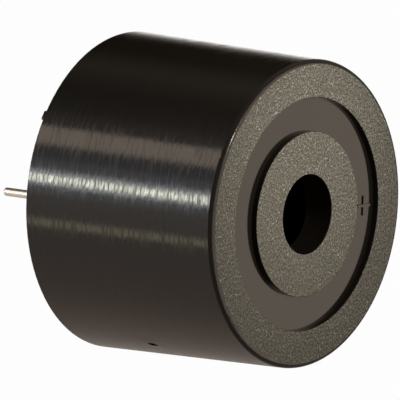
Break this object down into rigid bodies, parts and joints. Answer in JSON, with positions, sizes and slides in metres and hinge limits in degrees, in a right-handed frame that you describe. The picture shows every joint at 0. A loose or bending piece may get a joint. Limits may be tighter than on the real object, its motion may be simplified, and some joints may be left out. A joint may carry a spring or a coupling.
{
  "type": "piezo buzzer",
  "caption": "Round pin-type piezo buzzer: black drum-shaped housing with a centre sound port, ring groove, plus sign, rear feet and tinned pins.",
  "frame": {"origin": "centre of the plane that the rear feet stand on, midway between the pins", "axes": "+Z out of the sound port, away from the circuit board; +X from the negative to the positive pin; the pins point to -Z"},
  "size_m": [0.024, 0.024, 0.0228],
  "materials": {
    "housing_plastic": "black moulding, satin-gloss side and spark-eroded front",
    "resin": "black potting resin, satin",
    "tinned_pin": "bright tin plate on brass wire",
    "board": "brown paper-phenolic laminate",
    "solder": "satin solder",
    "plate_brass": "rolled brass sheet",
    "piezo_ceramic": "unglazed piezo ceramic",
    "silver": "matt silver film",
    "silicone": "white silicone",
    "moulded_epoxy": "black moulded epoxy",
    "resistor_coat": "tan lacquer",
    "ferrite": "dark grey ferrite",
    "copper": "enamelled copper wire",
    "wire_red": "red insulation",
    "wire_blue": "blue insulation",
    "wire_black": "black insulation"
  },
  "bodies": {
    "root": {"housing": "housing_plastic", "back_seal": "resin", "circuit_board": "board", "board_solder": "solder", "pin_negative": "tinned_pin", "pin_positive": "tinned_pin", "diaphragm_plate": "plate_brass", "piezo_disc": "piezo_ceramic", "main_electrode": "silver", "feedback_electrode": "silver", "diaphragm_adhesive": "silicone", "diaphragm_solder": "solder", "transistor": "moulded_epoxy", "resistor_1": "resistor_coat", "resistor_2": "resistor_coat", "resistor_3": "resistor_coat", "protection_diode": "moulded_epoxy", "choke_core": "ferrite", "choke_winding": "copper", "lead_wire_main": "wire_red", "lead_wire_feedback": "wire_blue", "lead_wire_ground": "wire_black"}
  },
  "joints": []
}
